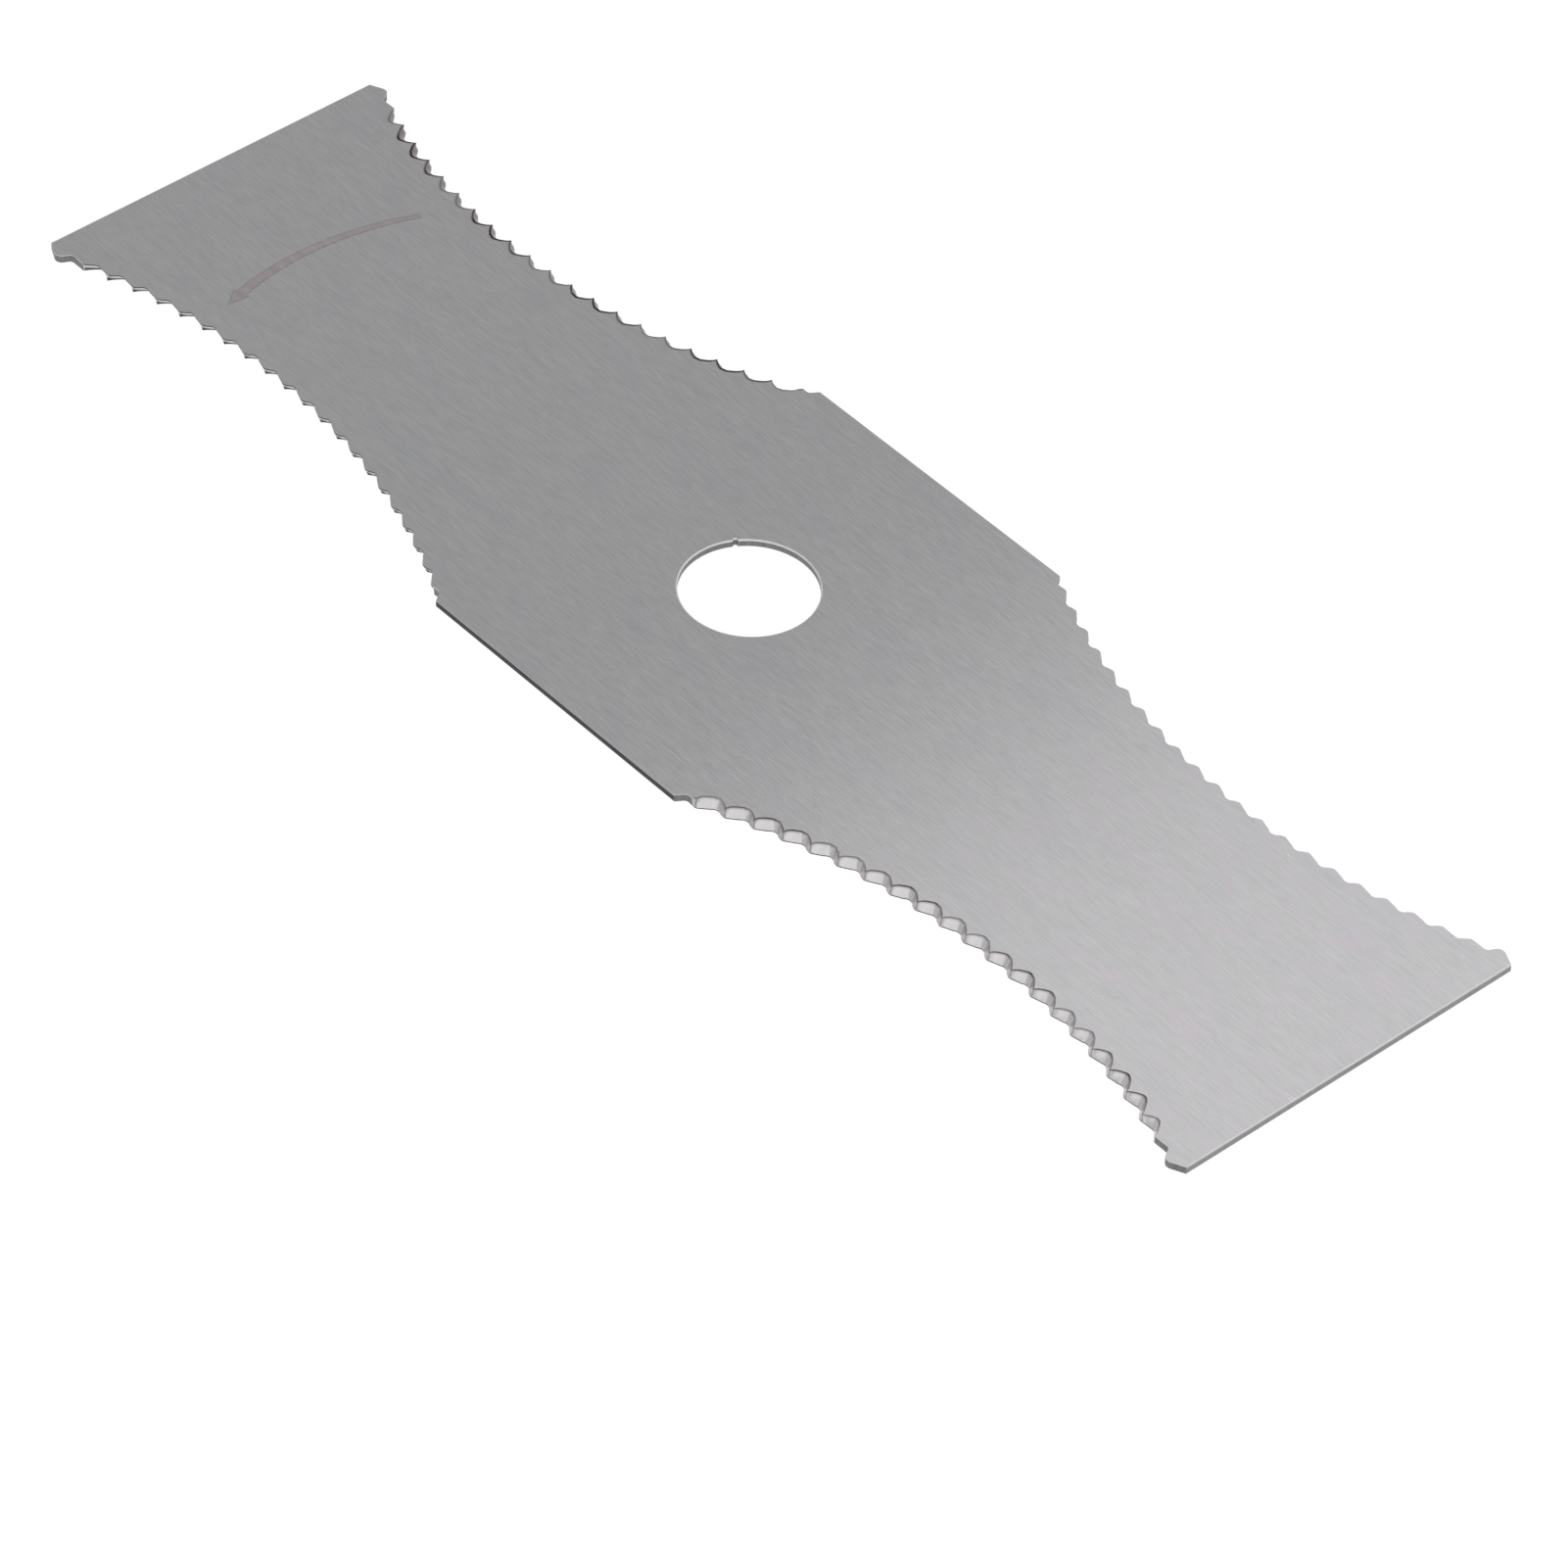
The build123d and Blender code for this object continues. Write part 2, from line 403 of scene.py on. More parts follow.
@dataclass(frozen=True)
class ScorchAndPaintedShade:
    """How darkly the wheel scorched the rims of one row of bevels, and how much shade is painted on the
    bevels, from 0 to 1, and past 1 for a harder edge.

    A curve holds places, from 0 at one ridge to 1 at the next or as rows of a section, and the share at
    each of them.
    """

    rims: float = 0.6                 # along the edge that each bevel has on its face
    unevenness: float = 0.9           # share of that which comes and goes from tooth to tooth
    sides: float = 0.0                # painted shade on the side of each bevel towards the blade's end
    painted_bevel_shade: tuple[float, float] = (0.0, 0.0)   # painted shade on the bevel's sharp half and on its other half
    strip: float = 0.42               # width on the faces that the scorched rims and painted shade fade over, in millimetres
    plateau: float = 0.48             # share of that width which stays as dark as the edge
    wave: tuple[float, float] = (1.28, -2.5)    # radians a tooth, counted from the last, and at the last
    rim_curve: Curve = ((0, 0.1, 0.5, 0.75, 1), (0.8, 1, 0.9, 0.6, 0.8))
    side_curve: Curve = ((0, 0.03, 0.6, 0.8, 0.94, 1), (0.9, 0, 0, 0.1, 0.35, 1))
    clean_start: float = 0.1          # part of the first tooth without painted shade on its side
    rim_rows: Curve = ((9, 10, 11, 12, 13), (0, 0.3, 1, 1, 0))
    side_rows: tuple[int, int] = (4, 11)
    painted_bevel_shade_rows: tuple[int, ...] = (3, 4, 6, 8, 11, 12)

    def shares(self, tooth: np.ndarray, part: np.ndarray, ground: np.ndarray) -> np.ndarray:
        """How scorched and painted shaded each point of a row of sections is: as the darkest of its
        scorched rim, painted side shade and painted bevel shade.

        The rims fade by 1/2 - 1/2 cos a, with an angle a that grows evenly from tooth to tooth.

        Args:
            tooth: Number of each section's tooth.
            part: Place of each section on its tooth, from 0 at one ridge to 1 at the next.
            ground: Whether each section is ground.

        Returns:
            Shares from 0 to 1 (columns, rows).
        """
        turn, start = self.wave
        fade = 0.5 - 0.5 * np.cos(turn * (tooth[ground].max() - tooth) + start)
        rims = self.rims * (1 - self.unevenness * fade) * np.interp(part, *self.rim_curve)
        sides = self.sides * np.interp(part, *self.side_curve)
        sides *= (tooth > tooth[ground].min()) | (part > self.clean_start)
        row, (first, last), (sharp, blunt) = np.arange(ROWS), self.side_rows, self.painted_bevel_shade
        scorch_and_shade = np.maximum(
            sides[:, None] * ((row >= first) & (row <= last)),
            rims[:, None] * np.interp(row, *self.rim_rows))
        painted_bevel_shade = np.interp(row, self.painted_bevel_shade_rows, [0, sharp, sharp, blunt, blunt, 0])
        return ground[:, None] * np.maximum(scorch_and_shade, painted_bevel_shade).clip(0, 1)


@dataclass
class ToothedEdge:
    """One wavy, ground edge of the +X +Y quarter, from the hub corner to the blade's end.

    A place on it is a distance s along a circle, the tooth line, a distance u outwards from it and a
    depth w below the sharp face.
    """

    blade_length: float = LENGTH
    hub_width: float = WIDTH
    hub_flat: float = 64.0
    thickness: float = THICKNESS
    hub_step: float = 0.7
    edge_break: float = 0.25
    waist_depth: float = 16.2
    end_step: float = 5.7
    corner_drop: float = 1.8
    pitch: float = 5.56
    height: float = 1.18
    rounding: float = 1.0
    valley_lead: float = 2.15
    first_tip: float = 3.6
    last_tip: float = 3.6
    last_tip_rise: float = 0.9
    last_tip_round: float = 1.4
    grind_lean: float = 40.0
    grind_skew: float = 14.0
    grind_hub_side: tuple[float, float] = (30.0, 46.0)    # in the first groove and in the last
    grind_end_side: float = 45.0
    grind_round: float = 1.4
    grind_lead: float = 2.2
    grind_bite: float = 0.08
    grind_fade: float = 0.4
    hand_grinding: float = 0.05   # how far the depth of the grooves varies
    hand_wave: tuple[float, float] = (2.4, 0.7)     # radians from groove to groove, and at the first
    bulge: tuple[float, float] = (0.6, 0.3)         # of the hub side and of the end side
    fill: float = 0.15            # of the root, on the ground face
    root_share: float = 0.59      # of the way from one ridge to the next, where the root lies
    land: float = 0.2
    least_cut: float = 0.15       # past the grooves, a section with less of a bevel stays upright
    skew_start: tuple[float, float] = (-1.5, 1.5)   # the skew comes in between these, past the first tip
    skew_stop: tuple[float, float] = (0.8, 3.0)     # and goes between these, past the last groove's tip
    end_gap: float = 0.06         # least distance of a section from the edge's two ends
    corner_reach: float = 1.5     # stretch before the blade's end where the strips turn into its corner
    corner_turn: tuple[float, float] = (1.34, 0.56)     # shift back and outwards there, in strip widths
    columns_per_tooth: int = 36
    spare_teeth: int = 3          # sections go on for this many teeth past the ridges
    arc_points: int = 15          # of each rounded corner of the outline

    def __post_init__(self) -> None:
        """Works out the tooth line's circle, the tips, the root that rounding leaves and the grooves."""
        self.hub = np.array([self.hub_flat / 2, self.hub_width / 2])
        corner_y = self.hub_width / 2 - self.end_step - self.corner_drop
        self.corner = np.array([self.blade_length / 2, corner_y])
        hub_rise, end_rise = self.waist_depth - self.hub_step, self.waist_depth - self.end_step
        span = self.corner[0] - self.hub[0]
        a, b = end_rise - hub_rise, 2 * hub_rise * span
        c = -hub_rise * (span**2 + end_rise * a)
        waist = -2 * c / (b + np.sqrt(b**2 - 4 * a * c))
        self.radius = (waist**2 + hub_rise**2) / (2 * hub_rise)
        self.centre = np.array([self.hub[0] + waist, self.hub[1] - self.waist_depth + self.radius])
        self.start = np.arcsin((self.hub[0] - self.centre[0]) / self.radius)
        length = self.radius * (np.arcsin((self.corner[0] - self.centre[0]) / self.radius) - self.start)
        count = int((length - self.last_tip - self.first_tip) / self.pitch) + 1
        self.tips = length - self.last_tip - self.pitch * np.arange(count)[::-1]
        slopes = np.arctan(self.height / np.array([self.valley_lead, self.pitch - self.valley_lead]))
        root = self.height / 2 - self.rounding * (1 / np.cos(slopes.mean()) - 1)
        self.roots = self.tips[1:-1] - self.grind_lead
        turn, first = self.hand_wave
        unevenness = self.hand_grinding * np.sin(np.arange(len(self.roots)) * turn + first)
        self.depths = -root - self.grind_bite + unevenness
        self.depths[-1] += self.grind_fade
        self.hub_sides = np.radians(np.linspace(*self.grind_hub_side, len(self.roots)))
        self.end_side = np.radians(self.grind_end_side)
        self.lean, self.skew = np.tan(np.radians([self.grind_lean, self.grind_skew]))

    def place(self, s: np.ndarray, u: np.ndarray) -> np.ndarray:
        """Turns places on the edge to X and Y.

        Args:
            s: Distances along the tooth line.
            u: Distances outwards from it.

        Returns:
            Points, with X and Y on the last axis: each is radius - u from the circle's centre, at the
            angle of s.
        """
        angle, reach = self.start + s / self.radius, self.radius - u
        x, y = self.centre
        return np.stack([x + reach * np.sin(angle), y - reach * np.cos(angle)], -1)

    def unplace(self, points: np.ndarray) -> tuple[np.ndarray, np.ndarray]:
        """Turns X and Y to places on the edge.

        Args:
            points: Points, with X and Y on the last axis.

        Returns:
            Their distances s and u.
        """
        x, y = points[..., 0] - self.centre[0], self.centre[1] - points[..., 1]
        return (np.arctan2(x, y) - self.start) * self.radius, self.radius - np.hypot(x, y)

    def outline(self) -> tuple[np.ndarray, np.ndarray]:
        """Wavy outline as cut: straight flanks, each corner rounded by an arc that touches both.

        Returns:
            Distances s in rising order, and u at each.
        """
        rise = np.where(self.tips == self.tips[-1], self.last_tip_rise, 0.0)
        valleys = self.place(self.tips - self.valley_lead, np.full_like(self.tips, -self.height / 2))
        crests = self.place(self.tips, self.height / 2 + rise)
        corners = np.stack([valleys, crests], 1).reshape(-1, 2)
        points = np.vstack([self.hub, corners, self.corner])
        r = np.full(len(corners), self.rounding)
        r[-1] = self.last_tip_round
        back, ahead = points[:-2] - corners, points[2:] - corners
        back /= np.linalg.norm(back, axis=1, keepdims=True)
        ahead /= np.linalg.norm(ahead, axis=1, keepdims=True)
        half = np.arccos(np.clip((back * ahead).sum(1), -1, 1)) / 2
        middle = (back + ahead) / np.linalg.norm(back + ahead, axis=1, keepdims=True)
        centres = corners + middle * (r / np.sin(half))[:, None]
        first = (corners + back * (r / np.tan(half))[:, None] - centres) / r[:, None]
        last = (corners + ahead * (r / np.tan(half))[:, None] - centres) / r[:, None]
        sweep = (np.pi - 2 * half)[:, None, None]
        step = np.linspace(0, 1, self.arc_points)[None, :, None]
        swing = np.sin((1 - step) * sweep) * first[:, None] + np.sin(step * sweep) * last[:, None]
        arcs = centres[:, None] + swing / np.sin(sweep) * r[:, None, None]
        return self.unplace(np.vstack([self.hub, arcs.reshape(-1, 2), self.corner]))

    def grooves(self, s: np.ndarray, w: np.ndarray) -> np.ndarray:
        """How far out the grooves leave the steel.

        A groove is a V with a round root of radius r. At a distance d past its root its sides, at an
        angle a, are at r (1 - 1 / cos a) + |d| tan a, and the round is at r - sqrt(r^2 - d^2). Going
        down by w the root moves inwards by w tan lean and towards the hub by w tan skew.

        Args:
            s: Distances along the tooth line.
            w: Depths below the sharp face, as many.

        Returns:
            Distances u of the deepest groove at each place.
        """
        away, r = (s + self.skew * w)[..., None] - self.roots, self.grind_round
        side = np.where(away < 0, self.hub_sides, self.end_side)
        flat = r * (1 - 1 / np.cos(side)) + np.abs(away) * np.tan(side)
        bend = r - np.sqrt(np.clip(r**2 - away**2, 0, None))
        cut = np.where(np.abs(away) < r * np.sin(side), bend, flat)
        return (self.depths + cut).min(-1) - self.lean * w

    def stations(self) -> np.ndarray:
        """Where the sections stand, with one on each ridge between two grooves.

        The end side of one groove meets the hub side of the next where both lines are at the same u.

        Returns:
            Distances s in rising order, a whole number of sections to each tooth, and past both ends.
        """
        hub, end = self.hub_sides[1:], self.end_side
        lift = np.diff(self.depths) + self.grind_round * (1 / np.cos(end) - 1 / np.cos(hub))
        ridges = lift + self.roots[:-1] * np.tan(end) + self.roots[1:] * np.tan(hub)
        ridges /= np.tan(end) + np.tan(hub)
        more = self.pitch * np.arange(1, self.spare_teeth + 1)
        stops = np.r_[ridges[0] - more[::-1], ridges, ridges[-1] + more]
        part = np.arange((len(stops) - 1) * self.columns_per_tooth + 1) / self.columns_per_tooth
        return np.interp(part, np.arange(len(stops)), stops)

    def columns(self, scorch_and_shading: ScorchAndPaintedShade) -> tuple[np.ndarray, np.ndarray, np.ndarray]:
        """Sections side by side along the edge, each a row of points from the sharp face down.

        At a depth w a section is at s - w tan skew, less where the row of grooves begins and ends. On
        both faces u is the smaller of the cut outline and the grooves, and the bevel is ruled from the
        one to the other under a narrow upright land. On the ground face both sides of a groove bulge
        inwards by b (x - x^6), less f (1 - x)^2 that fills its root, with x from 0 at the root to 1 at
        the ridge. The rows are: a strip on the sharp face, its edge, the land, the bevel and the strip
        on the other face.

        Args:
            scorch_and_shading: How darkly this row's rims are scorched, and how much shade is painted on
                its bevels.

        Returns:
            Points (columns, rows, XYZ) with the sharp face upwards, how scorched and painted shaded each
            is, and whether each column is ground.
        """
        s_line, u_line = self.outline()
        s, t, root = self.stations(), self.thickness, self.root_share
        inside = (s > s_line[0] + self.end_gap) & (s < s_line[-1] - self.end_gap)
        tooth, part = np.divmod(np.arange(len(s))[inside], self.columns_per_tooth)
        s, part = s[inside], part / self.columns_per_tooth
        stretch = np.r_[self.tips[0] + np.array(self.skew_start), self.tips[-2] + np.array(self.skew_stop)]
        skew = self.skew * np.interp(s, stretch, [0, 1, 1, 0])
        x = np.where(part < root, 1 - part / root, (part - root) / (1 - root))
        groove = tooth - (self.spare_teeth - 1)
        grooved = (groove >= 0) & (groove < len(self.roots))
        bulge = np.where(part < root, *self.bulge) * (x - x**6)
        bulge = (bulge - self.fill * (1 - x)**2) * grooved
        far = s - skew * t
        first = np.minimum(np.interp(s, s_line, u_line), self.grooves(s, np.zeros_like(s)))
        last = self.grooves(far, np.full_like(s, t)) - bulge
        last = np.minimum(np.interp(far, s_line, u_line), last)
        ground = (first - last > self.least_cut) | ((s > self.roots[0]) & (s < self.roots[-1]))
        breaks, _ = self.broken()
        upright = np.r_[np.zeros(3), breaks[1:], t - breaks[::-1], t, t]
        bevel = np.r_[np.zeros(3), self.land + (t - self.land) * np.linspace(0, 1, ROWS - 5), t, t]
        w = np.where(ground[:, None], bevel, upright)
        at = s[:, None] - skew[:, None] * w
        fall = np.clip((w - self.land) / (t - self.land), 0, 1)
        ruled = first[:, None] + (last - first)[:, None] * fall
        inset = scorch_and_shading.strip * np.r_[1, scorch_and_shading.plateau, np.zeros(ROWS - 4), scorch_and_shading.plateau, 1]
        u = np.where(ground[:, None], ruled, np.interp(at, s_line, u_line)) - inset
        turned = np.interp(s, [s_line[-1] - self.corner_reach, s_line[-1]], [0, 1])[:, None] * inset
        back, out = self.corner_turn
        flat = self.place(at - back * turned, u + out * turned)
        points = np.concatenate([flat, (t - w)[..., None]], -1)
        return points, scorch_and_shading.shares(tooth, part, ground), ground

    def broken(self) -> tuple[np.ndarray, np.ndarray]:
        """Profile of a broken edge: a quarter round of five points.

        Returns:
            Depth below the face and inset from the edge of each point, from the face to the wall.
        """
        angle = np.linspace(0, np.pi / 2, 5)
        return self.edge_break * (1 - np.cos(angle)), self.edge_break * (1 - np.sin(angle))


@dataclass
class Blade:
    """The whole sheet: four toothed edges, two hub edges, two ends, the bore and both faces."""

    edge: ToothedEdge = field(default_factory=ToothedEdge)
    bore_diameter: float = 25.4
    nick_radius: float = 0.45
    nick_angle: float = 150.0
    nick_reach: float = 0.045     # radians each side of the nick's middle that have more columns
    nick_columns: int = 31
    bore_columns: int = 360
    straight_columns: int = 48
    strip: float = 0.45           # width of the faces' outer strips
    lip: float = 0.04             # width of the part of a strip next to a broken edge
    sharp_angle: float = 33.0     # edges that turn by more than this stay sharp, in degrees
    fill_accuracy: float = 1e-7   # of the faces' fill

    def straight(self, start: np.ndarray, end: np.ndarray, inward: np.ndarray) -> np.ndarray:
        """Upright sections of a straight edge, with both of its corners broken round.

        Args:
            start: X and Y of its first corner.
            end: X and Y of its last corner.
            inward: Direction into the sheet.

        Returns:
            Points (columns, rows, XYZ), top row first.
        """
        line = start + np.linspace(0, 1, self.straight_columns)[:, None] * (end - start)
        along = (end - start) / np.linalg.norm(end - start)
        turned = np.tile(inward.astype(float), (len(line), 1))
        turned[[0, -1]] += [along, -along]
        return self.section(line, turned)

    def section(self, line: np.ndarray, inward: np.ndarray) -> np.ndarray:
        """Carries the broken-edge profile along a line in the plane.

        Args:
            line: X and Y of each column.
            inward: Direction into the sheet at each column.

        Returns:
            Points (columns, rows, XYZ), top row first: each is its column's point moved inwards by
            the profile's inset, at the profile's height.
        """
        t, (down, inset) = self.edge.thickness, self.edge.broken()
        face = np.r_[self.strip, inset[0] + self.lip]
        inset = np.r_[face, inset, inset[::-1], face[::-1]]
        height = np.r_[t, t, t - down, down[::-1], 0, 0]
        flat = line[:, None] + inset[:, None] * inward[:, None]
        return np.concatenate([flat, np.broadcast_to(height[:, None], flat.shape[:2] + (1,))], -1)

    def bore(self) -> np.ndarray:
        """Upright sections round the bore, anticlockwise.

        The radius is the bore's own, or where the nick's circle reaches further, with d the angle from
        its middle: r cos d + sqrt(nick^2 - (r sin d)^2).

        Returns:
            Points (columns, rows, XYZ), top row first.
        """
        middle = np.radians(self.nick_angle)
        even = np.linspace(0, 2 * np.pi, self.bore_columns, endpoint=False)
        near = np.linspace(-self.nick_reach, self.nick_reach, self.nick_columns)
        angle = np.unique(np.r_[even, middle + near])
        r, away = self.bore_diameter / 2, angle - middle
        inside = np.clip(self.nick_radius**2 - (r * np.sin(away))**2, 0, None)
        reach = np.where((inside > 0) & (np.cos(away) > 0), r * np.cos(away) + np.sqrt(inside), r)
        outwards = np.stack([np.cos(angle), np.sin(angle)], 1)
        return self.section(np.maximum(reach, r)[:, None] * outwards, outwards)

    def rim_columns(self) -> tuple[np.ndarray, np.ndarray, np.ndarray]:
        """All sections round the outline, clockwise from the hub's far right corner.

        Returns:
            Points (columns, rows, XYZ), the scorched rims and painted shade at each, and the surface of
            each strip that runs from a column to the next.
        """
        hub, corner = self.edge.hub, self.edge.corner
        parts, burns_and_shade, walls = [], [], []

        def toothed(turn: Turn, scorch_and_shading: ScorchAndPaintedShade) -> None:
            """Adds a toothed edge along the loop.

            Args:
                turn: Half turn that carries the edge there.
                scorch_and_shading: How darkly its bevels' rims are scorched, and how much shade is painted
                    on its bevels.
            """
            points, scorch_and_shade, ground = self.edge.columns(scorch_and_shading)
            strips = np.full((len(points), ROWS - 1), Surface.TOOTH)
            strips[:, FACE_STRIPS] = Surface.SHEET
            # The rounded edge beside the upper face gets the pale copy of the cut edge, a painted
            # highlight.
            strips[:, LAST_ROUND if turn.upside_down else FIRST_ROUND] = Surface.BURNISHED
            strips[ground, LAND_STRIP] = Surface.CUT
            strips[ground, BEVEL_STRIPS] = Surface.GROUND
            step = slice(None, None, -1 if turn.upside_down else 1)
            sheet_middle = np.array([0, 0, self.edge.thickness / 2])
            parts.append(((points - sheet_middle) * turn.value + sheet_middle)[step, step])
            burns_and_shade.append(scorch_and_shade[step, step])
            walls.append(strips[step, step])

        def plain(start: np.ndarray, end: np.ndarray, inward: tuple[int, int], surface: Surface) -> None:
            """Adds a straight edge along the loop.

            Args:
                start: X and Y of its first corner.
                end: X and Y of its last corner.
                inward: Direction into the sheet.
                surface: What its wall is.
            """
            parts.append(self.straight(start, end, np.array(inward)))
            burns_and_shade.append(np.zeros(parts[-1].shape[:2]))
            walls.append(np.full((len(parts[-1]), ROWS - 1), Surface.SHEET))
            walls[-1][:, WALL_STRIP] = surface
            # Both rounded edges of an end get the painted highlight.
            if surface is Surface.SHEARED:
                walls[-1][:, FIRST_ROUND] = Surface.BURNISHED
                walls[-1][:, LAST_ROUND] = Surface.BURNISHED

        # Each row has scorched rims; the side and bevel shares paint shade on its bevels.
        toothed(Turn.NONE, ScorchAndPaintedShade())
        plain(corner, corner * (1, -1), (-1, 0), Surface.SHEARED)
        toothed(Turn.ABOUT_X, ScorchAndPaintedShade(rims=1.1, unevenness=0.35, sides=0.7, strip=0.32))
        plain(hub * (1, -1), hub * (-1, -1), (0, 1), Surface.CUT)
        toothed(Turn.ABOUT_Z, ScorchAndPaintedShade(painted_bevel_shade=(0.05, 1.0)))
        plain(corner * (-1, -1), corner * (-1, 1), (1, 0), Surface.SHEARED)
        toothed(Turn.ABOUT_Y, ScorchAndPaintedShade(rims=1.6, sides=0.9, painted_bevel_shade=(0.7, 0.8), strip=0.7))
        plain(hub * (-1, 1), hub, (0, -1), Surface.CUT)
        return np.concatenate(parts), np.concatenate(burns_and_shade), np.concatenate(walls)

    @staticmethod
    def loop_faces(first: int, count: int) -> np.ndarray:
        """Quads of a closed loop of columns.

        Args:
            first: Number of the loop's first vertex.
            count: Number of columns.

        Returns:
            Vertex numbers (columns, strips, 4), facing out of the steel.
        """
        here = np.arange(count)[:, None] * ROWS + np.arange(ROWS - 1)
        there = np.roll(here, -1, 0)
        return first + np.stack([here, there, there + 1, here + 1], -1)

    def face(self, points: np.ndarray, outer: np.ndarray, inner: np.ndarray) -> np.ndarray:
        """Fills a flat face between the outline's strip and the bore's.

        Args:
            points: All vertices.
            outer: Vertex numbers of the outline's inner row.
            inner: Vertex numbers of the bore's outer row.

        Returns:
            Triangles, anticlockwise from above: a constrained Delaunay fill, without those whose middle
            is nearer to the axis than the bore's row at the same angle.
        """
        numbers = np.concatenate([outer, inner])
        loops = [np.arange(len(outer)), len(outer) + np.arange(len(inner))]
        edges = np.concatenate([np.stack([loop, np.roll(loop, -1)], 1) for loop in loops])
        flat, only_inside = points[numbers, :2].tolist(), 1
        filled = delaunay_2d_cdt(flat, edges.tolist(), [], only_inside, self.fill_accuracy)
        faces, sources = np.array(filled[2]), np.array(filled[3])[:, 0]
        triangles = numbers[sources[faces]]
        middle, ring = points[triangles].mean(1), points[inner]
        angle, ring_angle = np.arctan2(middle[:, 1], middle[:, 0]), np.arctan2(ring[:, 1], ring[:, 0])
        reach = np.interp(angle, ring_angle, np.hypot(ring[:, 0], ring[:, 1]), period=2 * np.pi)
        return triangles[np.hypot(middle[:, 0], middle[:, 1]) > reach]

    def build(self) -> bpy.types.Object:
        """Builds the blade's mesh and dresses it.

        Returns:
            The finished object, in the CAD frame.
        """
        outline, scorch_and_shade, wall = self.rim_columns()
        bore = self.bore()
        points = np.concatenate([outline.reshape(-1, 3), bore.reshape(-1, 3)])
        base = len(outline) * ROWS
        quads = np.concatenate([
            self.loop_faces(0, len(outline)).reshape(-1, 4),
            self.loop_faces(base, len(bore)).reshape(-1, 4)])
        bore_wall = np.full((len(bore), ROWS - 1), Surface.SHEET)
        # The bore's rounded edges get the painted highlight, and its wall the mid-grey painted-light copy.
        bore_wall[:, EDGE_STRIPS] = Surface.BURNISHED
        bore_wall[:, WALL_STRIP] = Surface.TOOTH
        outer, inner = np.arange(len(outline)) * ROWS, base + np.arange(len(bore)) * ROWS
        top = self.face(points, outer, inner)
        under = self.face(points, outer + ROWS - 1, inner + ROWS - 1)[:, ::-1]
        mesh = bpy.data.meshes.new("blade_sheet")
        mesh.from_pydata((points * MM).tolist(), [], quads.tolist() + top.tolist() + under.tolist())
        surfaces = np.concatenate([wall.ravel(), bore_wall.ravel(), np.zeros(len(top) + len(under), int)])
        mesh.polygons.foreach_set("material_index", surfaces.astype(np.int32))
        mesh.polygons.foreach_set("use_smooth", np.ones(len(mesh.polygons), bool))
        mesh.set_sharp_from_angle(angle=np.radians(self.sharp_angle))
        # Shares of scorched rims and of shade painted on the bevels.
        burn_and_shade = mesh.attributes.new("scorch_and_shade", "FLOAT", "POINT")
        shares = np.r_[scorch_and_shade.ravel(), np.zeros(len(bore) * ROWS)]
        burn_and_shade.data.foreach_set("value", shares.astype(np.float32))
        corners = np.zeros(len(mesh.loops), np.int32)
        mesh.loops.foreach_get("vertex_index", corners)
        uv = mesh.uv_layers.new(name="across_grain")
        uv.data.foreach_set("uv", (points[corners][:, [1, 0]] * UV_SCALE).astype(np.float32).ravel())
        mesh.update()
        finishes = {
            Surface.SHEET: BrushedSheet(),
            # Dark oxide as cut, also standing for the painted shade on the hub walls.
            Surface.CUT: CutEdge(),
            # A paler copy of the cut edge: painted light on the blade's end walls.
            Surface.SHEARED: CutEdge(
                "cut_steel_end_painted_lit", "#868686", "#9C9C9C", lines=(0.5, 0.5, 2.4), roughness=(0.4, 0.55)),
            # A mid-grey copy of the cut edge: painted light on the tooth walls and the bore's wall.
            Surface.TOOTH: CutEdge("cut_steel_tooth", "#6A6969", "#8E8D8D", roughness=(0.4, 0.55)),
            Surface.GROUND: GroundBevel(),
            # A pale copy of the cut edge: a painted highlight on the rounded edges.
            Surface.BURNISHED: CutEdge(
                "steel_edge_painted_highlight", "#C8C8C8", "#D6D6D6", lines=(2.0, 2.0, 2.4), roughness=(0.3, 0.45)),
        }
        for surface in Surface:
            mesh.materials.append(finishes[surface].material())
        piece = bpy.data.objects.new("blade_sheet", mesh)
        bpy.context.collection.objects.link(piece)
        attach(piece, "root")
        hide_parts("blade")
        LOG.info("blade_sheet: %d faces", len(mesh.polygons))
        return piece


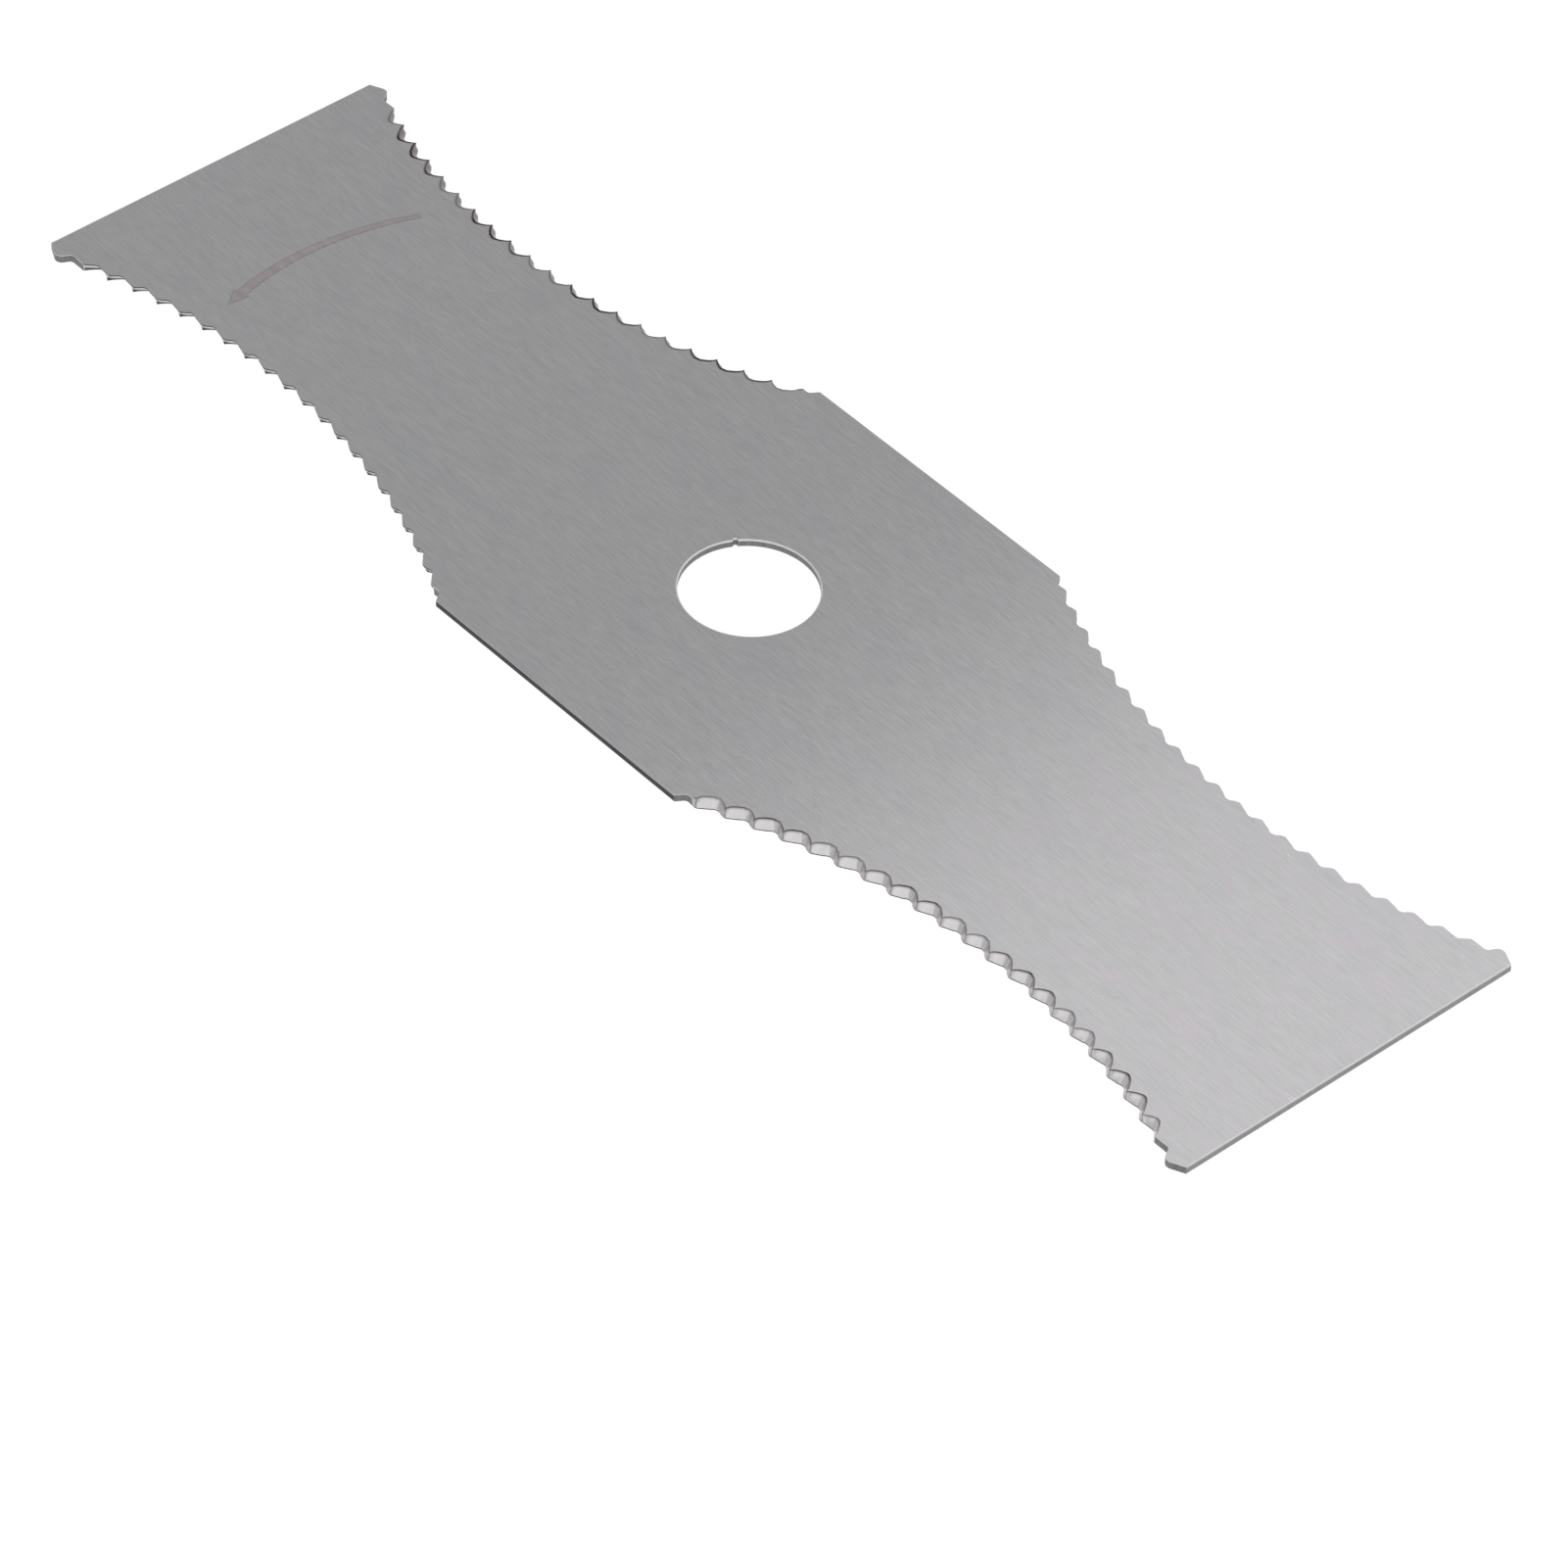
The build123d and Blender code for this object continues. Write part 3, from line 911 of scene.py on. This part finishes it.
@dataclass
class DirectionArrow:
    """Etched curved arrow that shows the direction of rotation, on top of the -X wing."""

    tail: tuple[float, float] = (-116.0, 20.5)
    middle: tuple[float, float] = (-121.0, 0.0)
    head: tuple[float, float] = (-118.0, -23.5)
    tail_width: float = 1.3
    neck_width: float = 2.2
    head_width: float = 3.5
    head_length: float = 4.4
    point_width: float = 0.05     # left at the point, so that every face has an area
    line: float = 0.26
    least_body: float = 0.3       # share of the width that the line leaves at least
    body_line: float = 0.15       # share of the line's colour in the body
    neck_step: float = 1e-4       # share of the length over which the neck widens to the head
    height: float = THICKNESS + 0.008   # just off the sheet, so that the two don't mix
    columns: int = 120

    def build(self) -> bpy.types.Object:
        """Builds the arrow as a ribbon on the arc through three points, and dresses it.

        The ribbon's half width grows evenly from the tail to the neck, and falls from the head's
        width to almost nothing at the point. Its outer two rows are the darker line.

        Returns:
            The finished object, in the CAD frame.
        """
        a, b, c = (np.array(p) for p in (self.tail, self.middle, self.head))
        sides = 2 * np.array([b - a, c - a])
        centre = np.linalg.solve(sides, [b @ b - a @ a, c @ c - a @ a])
        radius = np.linalg.norm(a - centre)
        start, end = (np.arctan2(*(p - centre)[::-1]) % (2 * np.pi) for p in (a, c))
        length = abs(end - start) * radius
        neck = 1 - self.head_length / length
        shoulder = neck + self.neck_step * np.array([-1, 1])
        along = np.sort(np.r_[np.linspace(0, 1, self.columns), shoulder])
        half = 0.5 * np.where(
            along < neck,
            self.tail_width + (self.neck_width - self.tail_width) * along / neck,
            self.head_width * (1 - along) / (1 - neck) + self.point_width)
        inner = np.maximum(half - self.line, self.least_body * half)
        rows = np.stack([-half, -inner, inner, half], 1)
        angle = (start + (end - start) * along)[:, None]
        reach = radius + rows
        x, y = centre[0] + reach * np.cos(angle), centre[1] + reach * np.sin(angle)
        points = np.stack([x, y, np.full_like(reach, self.height)], -1)
        here = np.arange(len(along) - 1)[:, None] * 4 + np.arange(3)
        quads = np.stack([here, here + 1, here + 5, here + 4], -1).reshape(-1, 4)
        first = points.reshape(-1, 3)[quads[0]]
        if np.cross(first[1] - first[0], first[2] - first[1])[2] < 0:
            quads = quads[:, ::-1]
        mesh = bpy.data.meshes.new("direction_arrow")
        mesh.from_pydata((points.reshape(-1, 3) * MM).tolist(), [], quads.tolist())
        mark = mesh.attributes.new("outline", "FLOAT", "POINT")
        shares = np.tile([1, self.body_line, self.body_line, 1], len(along))
        mark.data.foreach_set("value", shares.astype(np.float32))
        mesh.materials.append(EtchedMark().material())
        piece = bpy.data.objects.new("direction_arrow", mesh)
        bpy.context.collection.objects.link(piece)
        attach(piece, "root")
        LOG.info("direction_arrow: %d faces", len(mesh.polygons))
        return piece


@dataclass(frozen=True)
class Softbox:
    """Rectangular studio lamp: where it stands, what it looks at, its sides and its power."""

    name: str
    place: tuple[float, float, float]
    target: tuple[float, float, float]
    sides: tuple[float, float]
    watts: float

    def build(self) -> None:
        """Adds the lamp."""
        lamp = bpy.data.lights.new(self.name, "AREA")
        lamp.shape = "RECTANGLE"
        lamp.size, lamp.size_y = np.array(self.sides) * MM
        lamp.energy = self.watts
        thing = bpy.data.objects.new(self.name, lamp)
        place, target = Vector(np.array(self.place) * MM), Vector(np.array(self.target) * MM)
        thing.location = place
        thing.rotation_euler = (target - place).to_track_quat("-Z", "Y").to_euler()
        thing.visible_camera = False
        bpy.context.collection.objects.link(thing)


@dataclass
class Studio:
    """Pale floor, soft light and the camera at the photograph's view."""

    focal_pixels: float = 8230.6
    sensor: float = 36.0
    clip: tuple[float, float] = (50.0, 50000.0)
    camera_place: tuple[float, float, float] = (777.333, -719.597, 946.111)
    azimuth: float = -43.2174     # of the line of sight, back towards the camera, in degrees
    elevation: float = 43.1025
    roll: float = 2.9376
    floor_size: float = 12000.0
    floor_drop: float = 0.02
    ambient: str = "#D6D6D6"
    lamps: tuple[Softbox, ...] = (
        Softbox("overhead_softbox", (58, 400, 400), (58, 400, 0), (584, 1100), 1.29),
        Softbox("front_softbox", (540, -740, 620), (90, 0, 0), (1400, 700), 1.6),
    )

    def build(self) -> None:
        """Adds the camera, the lamps, the ambient light and the floor."""
        camera = bpy.data.cameras.new("photo_view")
        camera.sensor_width = self.sensor
        camera.lens = self.focal_pixels / PHOTO_PIXELS * camera.sensor_width
        camera.clip_start, camera.clip_end = np.array(self.clip) * MM
        thing = bpy.data.objects.new("photo_view", camera)
        turns = ((90 + self.azimuth, "Z"), (90 - self.elevation, "X"), (self.roll, "Z"))
        pose = Matrix.Translation(Vector(self.camera_place) * MM)
        for angle, axis in turns:
            pose = pose @ Matrix.Rotation(np.radians(angle), 4, axis)
        thing.matrix_world = pose
        bpy.context.collection.objects.link(thing)
        bpy.context.scene.camera = thing
        for lamp in self.lamps:
            lamp.build()
        world = bpy.data.worlds.new("studio")
        world.use_nodes = True
        world.node_tree.nodes["Background"].inputs["Color"].default_value = linear(self.ambient)
        bpy.context.scene.world = world
        bpy.context.scene.view_settings.view_transform = "Standard"
        side = np.array([-1, 1]) * self.floor_size / 2
        x, y = np.meshgrid(side, side)
        corners = np.stack([x.ravel(), y.ravel(), np.full(x.size, -self.floor_drop)], 1)
        mesh = bpy.data.meshes.new("floor")
        mesh.from_pydata((corners * MM).tolist(), [], [(0, 1, 3, 2)])
        mesh.materials.append(PaleFloor().material())
        floor = bpy.data.objects.new("floor", mesh)
        bpy.context.collection.objects.link(floor)
        LOG.info("studio: %d lamps", len(self.lamps))


def main() -> None:
    logging.basicConfig(level=logging.INFO)
    Blade().build()
    DirectionArrow().build()
    Studio().build()


if __name__ == "__main__":
    main()
